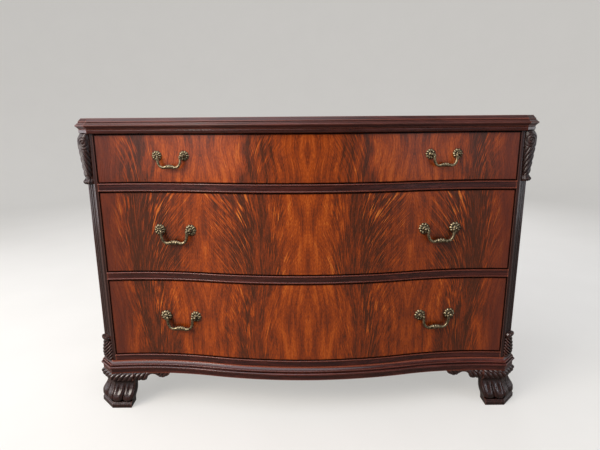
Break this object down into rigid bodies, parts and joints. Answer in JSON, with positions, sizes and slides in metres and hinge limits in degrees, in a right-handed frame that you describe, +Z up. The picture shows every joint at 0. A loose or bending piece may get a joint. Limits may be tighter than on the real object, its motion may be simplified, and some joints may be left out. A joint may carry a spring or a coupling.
{
  "type": "serpentine chest of drawers",
  "caption": "Serpentine-front chest of drawers with canted reeded corners, carved corbels and bracket feet, flame-veneered drawer fronts and swan-neck brass bail pulls.",
  "frame": {"origin": "middle of the footprint, on the floor", "axes": "+X to the viewer's right, -Y out of the drawer fronts, +Z up"},
  "size_m": [1.3016, 0.5549, 0.868],
  "materials": {
    "mahogany": "satin lacquer",
    "carved_mahogany": "dark stained and lacquered",
    "flame_veneer": "gloss lacquer",
    "drawer_oak": "clear sealed",
    "plywood": "bare sanded",
    "antique_brass": "antique patina",
    "steel": "dull zinc"
  },
  "bodies": {
    "case": {"back_panel": "plywood", "back_screws": "steel", "base_moulding_front": "mahogany", "base_moulding_left": "mahogany", "base_moulding_right": "mahogany", "bottom_rail": "mahogany", "bracket_wings": "carved_mahogany", "corner_corbel_left": "carved_mahogany", "corner_corbel_right": "carved_mahogany", "corner_post_left": "carved_mahogany", "corner_post_right": "carved_mahogany", "divider_lower": "mahogany", "divider_upper": "mahogany", "drawer_runners": "drawer_oak", "drawer_stops": "drawer_oak", "dust_panels": "plywood", "front_foot_left": "carved_mahogany", "front_foot_right": "carved_mahogany", "rear_foot_left": "mahogany", "rear_foot_right": "mahogany", "side_panel_left": "mahogany", "side_panel_right": "mahogany", "top_panel": "mahogany", "top_rail": "mahogany", "under_top_moulding_front": "mahogany", "under_top_moulding_left": "mahogany", "under_top_moulding_right": "mahogany"},
    "lower_drawer": {"lower_drawer_back": "drawer_oak", "lower_drawer_bottom": "plywood", "lower_drawer_front": "mahogany", "lower_drawer_side_left": "drawer_oak", "lower_drawer_side_right": "drawer_oak", "lower_drawer_veneer": "flame_veneer", "lower_pull_nuts": "antique_brass", "lower_pull_posts": "antique_brass", "lower_pull_rosettes": "antique_brass"},
    "lower_bail_left": {"lower_bail_left": "antique_brass"},
    "lower_bail_right": {"lower_bail_right": "antique_brass"},
    "middle_drawer": {"middle_drawer_back": "drawer_oak", "middle_drawer_bottom": "plywood", "middle_drawer_front": "mahogany", "middle_drawer_side_left": "drawer_oak", "middle_drawer_side_right": "drawer_oak", "middle_drawer_veneer": "flame_veneer", "middle_pull_nuts": "antique_brass", "middle_pull_posts": "antique_brass", "middle_pull_rosettes": "antique_brass"},
    "middle_bail_left": {"middle_bail_left": "antique_brass"},
    "middle_bail_right": {"middle_bail_right": "antique_brass"},
    "upper_drawer": {"upper_drawer_back": "drawer_oak", "upper_drawer_bottom": "plywood", "upper_drawer_front": "mahogany", "upper_drawer_side_left": "drawer_oak", "upper_drawer_side_right": "drawer_oak", "upper_drawer_veneer": "flame_veneer", "upper_pull_nuts": "antique_brass", "upper_pull_posts": "antique_brass", "upper_pull_rosettes": "antique_brass"},
    "upper_bail_left": {"upper_bail_left": "antique_brass"},
    "upper_bail_right": {"upper_bail_right": "antique_brass"}
  },
  "joints": [
    {"name": "lower_drawer_slide", "type": "slide", "parent": "case", "child": "lower_drawer", "axis": [0, -1, 0], "range_m": [0, 0.38]},
    {"name": "lower_bail_left_hinge", "type": "hinge", "parent": "lower_drawer", "child": "lower_bail_left", "pos_m": [-0.37711, -0.23107, 0.2945], "axis": [-0.9934, 0.1147, 0], "range_deg": [-8, 150]},
    {"name": "lower_bail_right_hinge", "type": "hinge", "parent": "lower_drawer", "child": "lower_bail_right", "pos_m": [0.37711, -0.23107, 0.2945], "axis": [-0.9934, -0.1147, 0], "range_deg": [-8, 150]},
    {"name": "middle_drawer_slide", "type": "slide", "parent": "case", "child": "middle_drawer", "axis": [0, -1, 0], "range_m": [0, 0.38]},
    {"name": "middle_bail_left_hinge", "type": "hinge", "parent": "middle_drawer", "child": "middle_bail_left", "pos_m": [-0.37711, -0.23107, 0.557], "axis": [-0.9934, 0.1147, 0], "range_deg": [-8, 150]},
    {"name": "middle_bail_right_hinge", "type": "hinge", "parent": "middle_drawer", "child": "middle_bail_right", "pos_m": [0.37711, -0.23107, 0.557], "axis": [-0.9934, -0.1147, 0], "range_deg": [-8, 150]},
    {"name": "upper_drawer_slide", "type": "slide", "parent": "case", "child": "upper_drawer", "axis": [0, -1, 0], "range_m": [0, 0.38]},
    {"name": "upper_bail_left_hinge", "type": "hinge", "parent": "upper_drawer", "child": "upper_bail_left", "pos_m": [-0.37711, -0.23107, 0.766], "axis": [-0.9934, 0.1147, 0], "range_deg": [-8, 150]},
    {"name": "upper_bail_right_hinge", "type": "hinge", "parent": "upper_drawer", "child": "upper_bail_right", "pos_m": [0.37711, -0.23107, 0.766], "axis": [-0.9934, -0.1147, 0], "range_deg": [-8, 150]}
  ]
}
